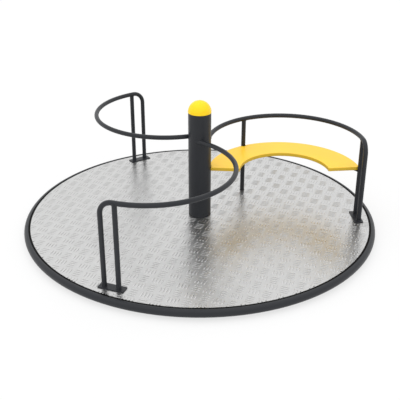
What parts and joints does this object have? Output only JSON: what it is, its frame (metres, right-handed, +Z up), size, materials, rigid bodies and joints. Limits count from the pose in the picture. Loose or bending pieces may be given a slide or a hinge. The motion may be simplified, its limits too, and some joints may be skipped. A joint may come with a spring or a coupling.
{
  "type": "merry go round",
  "caption": "Low round playground platform turning on a ground spindle, with a central capped column, bent tube handrails, a curved seat board and a tread plate deck.",
  "frame": {"origin": "on the ground, on the turning axis, at the underside of the base plate", "axes": "+Z up along the turning axis; +X to the right and +Y to the back when the two-leg end of the seat's handrail is at the right"},
  "size_m": [2, 1.9994, 0.7389],
  "materials": {
    "frame_coating": "dark grey powder coat, fine texture, satin",
    "tread_plate": "bright rolled tread plate with raised bars",
    "cap_plastic": "yellow moulded plastic, satin gloss",
    "seat_plastic": "yellow polyethylene board, fine orange-peel surface",
    "seal_rubber": "black nitrile rubber",
    "galvanised_steel": "hot-dip galvanised",
    "machined_steel": "turned steel, oiled",
    "bearing_steel": "ground and polished",
    "brass_parts": "plain brass",
    "zinc_fixings": "zinc plated"
  },
  "bodies": {
    "ground_base": {"base_plate": "galvanised_steel", "spindle": "machined_steel", "spindle_lock_washer": "machined_steel", "spindle_locknut": "machined_steel", "lower_inner_race": "bearing_steel", "upper_inner_race": "bearing_steel"},
    "platform": {"arm_1": "frame_coating", "arm_2": "frame_coating", "arm_3": "frame_coating", "arm_4": "frame_coating", "arm_5": "frame_coating", "arm_6": "frame_coating", "arm_7": "frame_coating", "arm_8": "frame_coating", "arm_ties": "frame_coating", "bearing_circlip": "bearing_steel", "column_cap": "cap_plastic", "column_tube": "frame_coating", "deck_ledge": "frame_coating", "deck_nuts": "zinc_fixings", "deck_plate": "tread_plate", "deck_studs": "zinc_fixings", "deck_washers": "zinc_fixings", "foot_backing_plate_1": "frame_coating", "foot_backing_plate_2": "frame_coating", "foot_backing_plate_3": "frame_coating", "foot_nuts": "zinc_fixings", "foot_plate_1": "frame_coating", "foot_plate_2": "frame_coating", "foot_plate_3": "frame_coating", "foot_studs": "zinc_fixings", "foot_washers": "zinc_fixings", "handrail_1": "frame_coating", "handrail_2": "frame_coating", "handrail_3": "frame_coating", "hub_flange": "frame_coating", "lower_bearing_housing": "frame_coating", "lower_outer_race": "bearing_steel", "rail_leg_1": "frame_coating", "rail_leg_2": "frame_coating", "rail_leg_3": "frame_coating", "rim_tube": "frame_coating", "seat_board": "seat_plastic", "seat_bracket_column": "frame_coating", "seat_bracket_end": "frame_coating", "seat_bracket_middle": "frame_coating", "seat_inserts": "brass_parts", "seat_leg": "frame_coating", "seat_leg_nuts": "zinc_fixings", "seat_leg_studs": "zinc_fixings", "seat_leg_washers": "zinc_fixings", "seat_screws": "zinc_fixings", "shaft_seal": "seal_rubber", "upper_bearing_housing": "frame_coating", "upper_outer_race": "bearing_steel"},
    "lower_ball_set": {"lower_bearing_balls": "bearing_steel", "lower_bearing_cage": "brass_parts"},
    "upper_ball_set": {"upper_bearing_balls": "bearing_steel", "upper_bearing_cage": "brass_parts"}
  },
  "joints": [
    {"name": "platform_spin", "type": "hinge", "parent": "ground_base", "child": "platform", "pos_m": [0, 0, 0.049], "axis": [0, 0, 1], "continuous": true},
    {"name": "lower_ball_set_spin", "type": "hinge", "parent": "ground_base", "child": "lower_ball_set", "pos_m": [0, 0, 0.049], "axis": [0, 0, 1], "continuous": true},
    {"name": "upper_ball_set_spin", "type": "hinge", "parent": "ground_base", "child": "upper_ball_set", "pos_m": [0, 0, 0.599], "axis": [0, 0, 1], "continuous": true}
  ],
  "couplings": [
    {"joint": "lower_ball_set_spin", "follows": "platform_spin", "ratio": 0.571},
    {"joint": "upper_ball_set_spin", "follows": "platform_spin", "ratio": 0.6}
  ]
}
